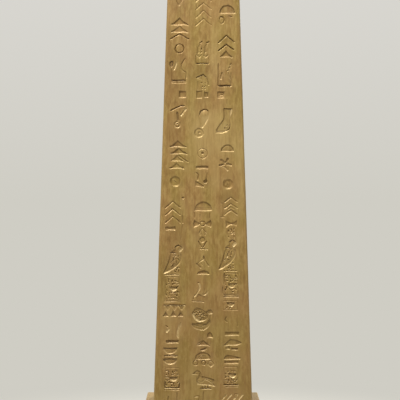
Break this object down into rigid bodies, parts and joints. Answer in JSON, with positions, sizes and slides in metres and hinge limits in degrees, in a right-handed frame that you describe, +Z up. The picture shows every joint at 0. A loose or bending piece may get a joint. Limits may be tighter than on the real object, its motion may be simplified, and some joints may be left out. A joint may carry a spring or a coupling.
{
  "type": "model obelisk on a moulded pedestal",
  "caption": "Square tapered shaft with sunk picture signs and a pyramidal point, standing on a moulded square pedestal clamped by one rod from below.",
  "frame": {"origin": "middle of the surface that the felt pads stand on", "axes": "+Z up along the shaft, -Y towards the viewer of the front face, +X to that viewer's right"},
  "size_m": [0.148, 0.148, 0.6846],
  "materials": {
    "old_gold_composition": "cast gypsum composition brushed with satin old-gold paint over a brown ground",
    "zinc_steel": "zinc plated",
    "felt": "matt dark brown wool felt"
  },
  "bodies": {
    "root": {"shaft": "old_gold_composition", "pyramidion": "old_gold_composition", "plinth_cap": "old_gold_composition", "pedestal_die": "old_gold_composition", "base_moulding": "old_gold_composition", "base_slab": "old_gold_composition", "fixing_rod": "zinc_steel", "fixing_washer": "zinc_steel", "fixing_nut": "zinc_steel", "foot_pad_front_left": "felt", "foot_pad_front_right": "felt", "foot_pad_back_left": "felt", "foot_pad_back_right": "felt"}
  },
  "joints": []
}
